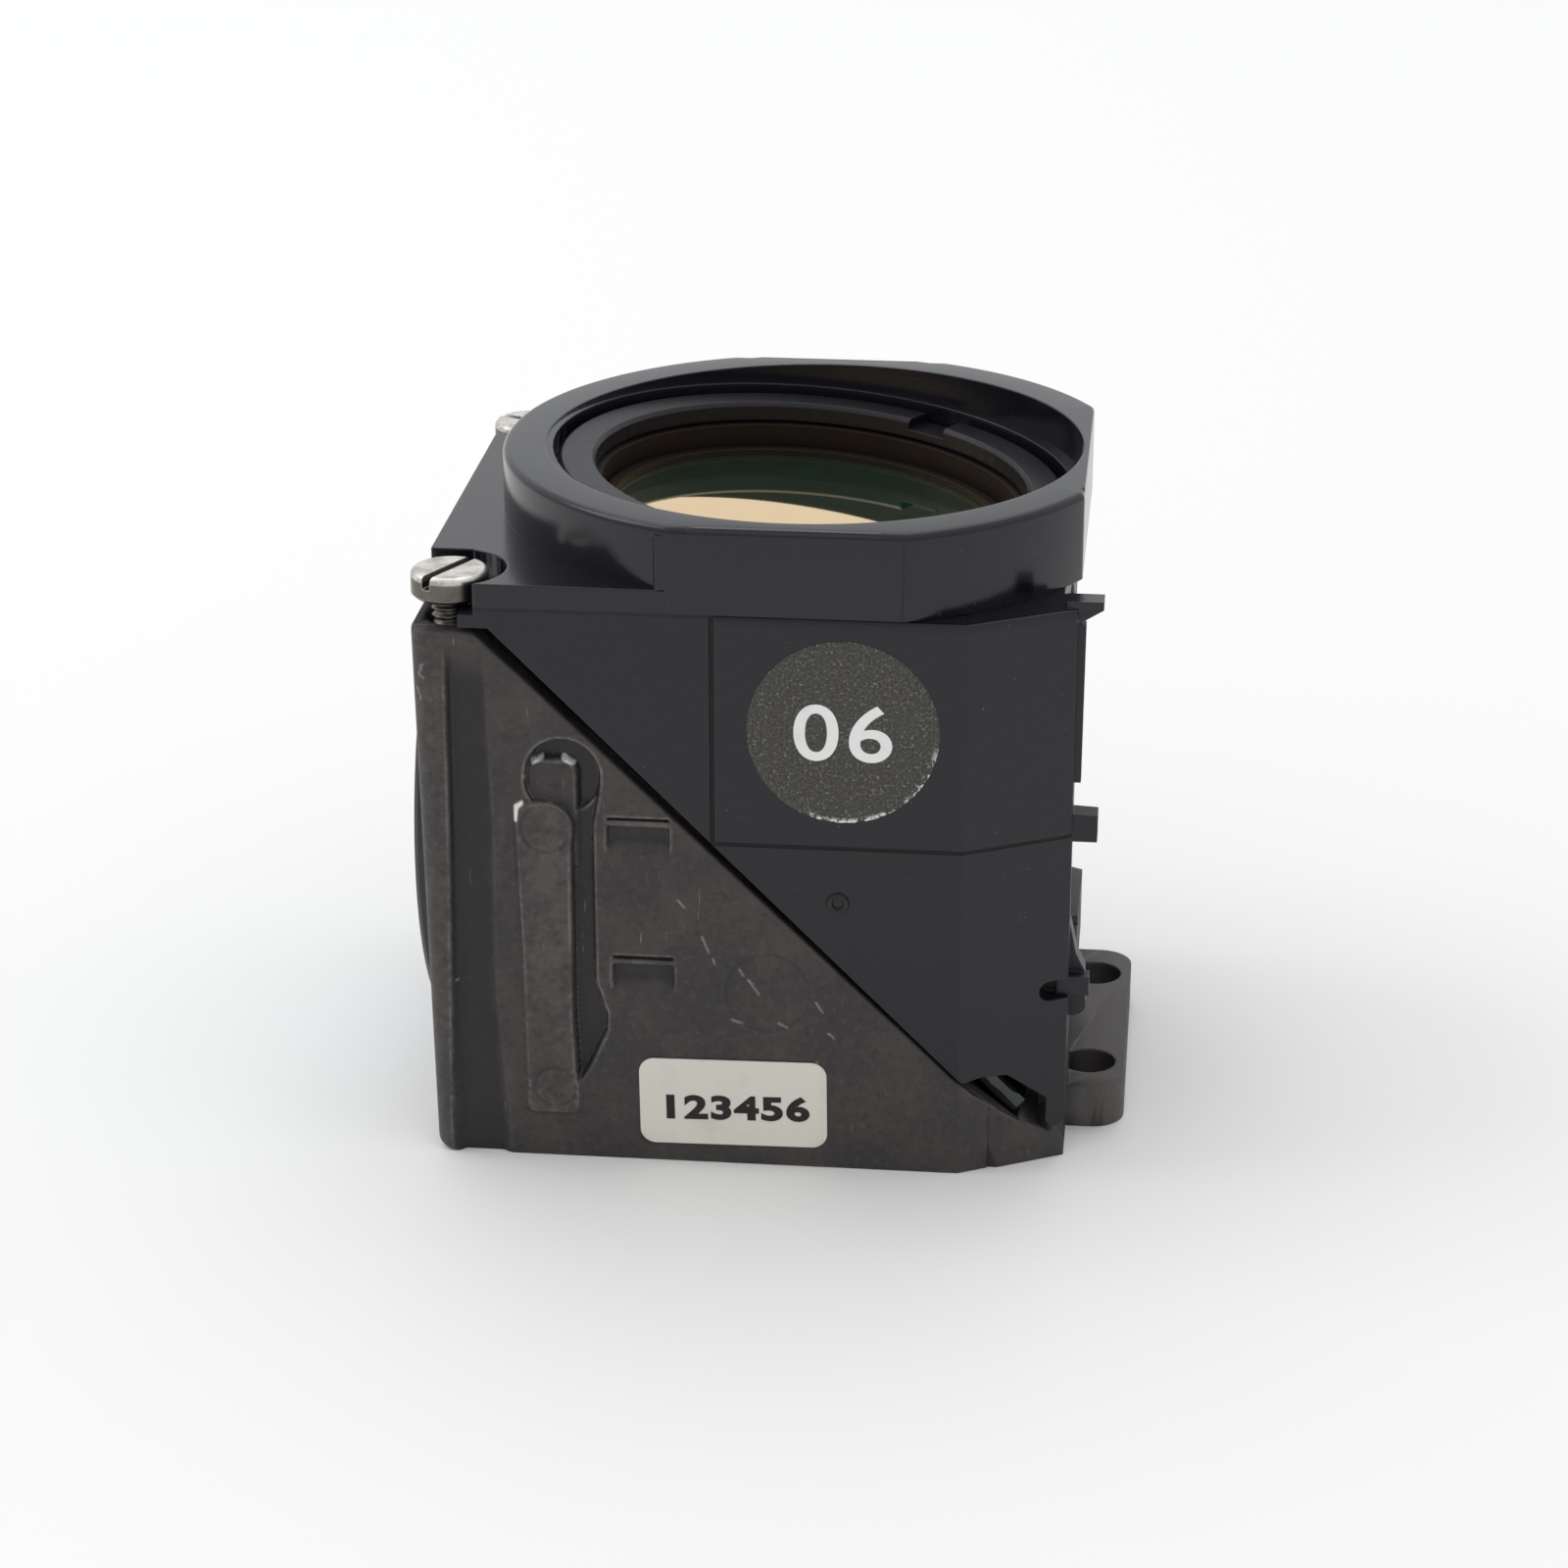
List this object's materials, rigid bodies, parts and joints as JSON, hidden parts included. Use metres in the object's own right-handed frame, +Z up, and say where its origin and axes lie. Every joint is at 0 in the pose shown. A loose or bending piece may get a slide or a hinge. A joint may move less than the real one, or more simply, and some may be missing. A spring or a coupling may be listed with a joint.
{
  "type": "fluorescence filter cube",
  "caption": "Two-part reflector module for a fluorescence microscope: tilted excitation filter on top, emission filter at the left, beamsplitter on the diagonal between them.",
  "frame": {"origin": "centre of the bounding box in plan, at the height of the base", "axes": "+X towards the open objective port, front face at -Y, +Z up through the excitation filter"},
  "size_m": [0.0364, 0.03, 0.0345],
  "materials": {
    "die_cast_black": "satin black-brown coating over a die casting, lightly scuffed",
    "moulded_black": "satin blue-black moulding with a fine texture",
    "nickel_steel": "nickel-plated slotted screw, worn at the slot",
    "anodised_black": "black anodised, satin",
    "filter_glass": "polished interference-coated glass, dark green with an orange reflection",
    "spring_steel": "bare rolled strip",
    "matt_black_insert": "dead matt light absorber",
    "sticker_dark": "speckled dark sticker with white figures, worn at its edge",
    "tag_white": "off-white printed tag"
  },
  "bodies": {
    "die_cast_half": {"emission_housing": "die_cast_black", "beamsplitter_plate": "filter_glass", "beamsplitter_spring_front": "spring_steel", "beamsplitter_spring_rear": "spring_steel", "light_trap_insert": "matt_black_insert", "paper_tag": "tag_white"},
    "moulded_half": {"excitation_housing": "moulded_black", "number_disc": "sticker_dark"},
    "front_screw": {"clamp_screw_front": "nickel_steel"},
    "rear_screw": {"clamp_screw_rear": "nickel_steel"},
    "excitation_ring": {"excitation_retaining_ring": "anodised_black"},
    "excitation_filter": {"excitation_filter_mount": "anodised_black", "excitation_rear_glass": "filter_glass", "excitation_glass_spacer": "anodised_black", "excitation_coated_glass": "filter_glass"},
    "emission_ring": {"emission_retaining_ring": "anodised_black"},
    "emission_filter": {"emission_filter_mount": "anodised_black", "emission_rear_glass": "filter_glass", "emission_glass_spacer": "anodised_black", "emission_coated_glass": "filter_glass"}
  },
  "joints": [
    {"name": "half_opening", "type": "hinge", "parent": "die_cast_half", "child": "moulded_half", "pos_m": [0.01473, 0, 0.00225], "axis": [0, 1, 0], "range_deg": [0, 28]},
    {"name": "front_screw_lift", "type": "slide", "parent": "die_cast_half", "child": "front_screw", "axis": [0, 0, 1], "range_m": [0, 0.0176]},
    {"name": "rear_screw_lift", "type": "slide", "parent": "die_cast_half", "child": "rear_screw", "axis": [0, 0, 1], "range_m": [0, 0.0176]},
    {"name": "excitation_ring_out", "type": "slide", "parent": "moulded_half", "child": "excitation_ring", "axis": [0.0819, 0, 0.9966], "range_m": [0, 0.007]},
    {"name": "excitation_filter_out", "type": "slide", "parent": "moulded_half", "child": "excitation_filter", "axis": [0.0819, 0, 0.9966], "range_m": [0, 0.007]},
    {"name": "emission_ring_out", "type": "slide", "parent": "die_cast_half", "child": "emission_ring", "axis": [-1, 0, 0], "range_m": [0, 0.006]},
    {"name": "emission_filter_out", "type": "slide", "parent": "die_cast_half", "child": "emission_filter", "axis": [-1, 0, 0], "range_m": [0, 0.006]}
  ],
  "couplings": [
    {"joint": "front_screw_lift", "follows": "half_opening", "m_per_rad": 0.036},
    {"joint": "rear_screw_lift", "follows": "half_opening", "m_per_rad": 0.036},
    {"joint": "excitation_filter_out", "follows": "excitation_ring_out", "ratio": 1},
    {"joint": "emission_filter_out", "follows": "emission_ring_out", "ratio": 1}
  ]
}
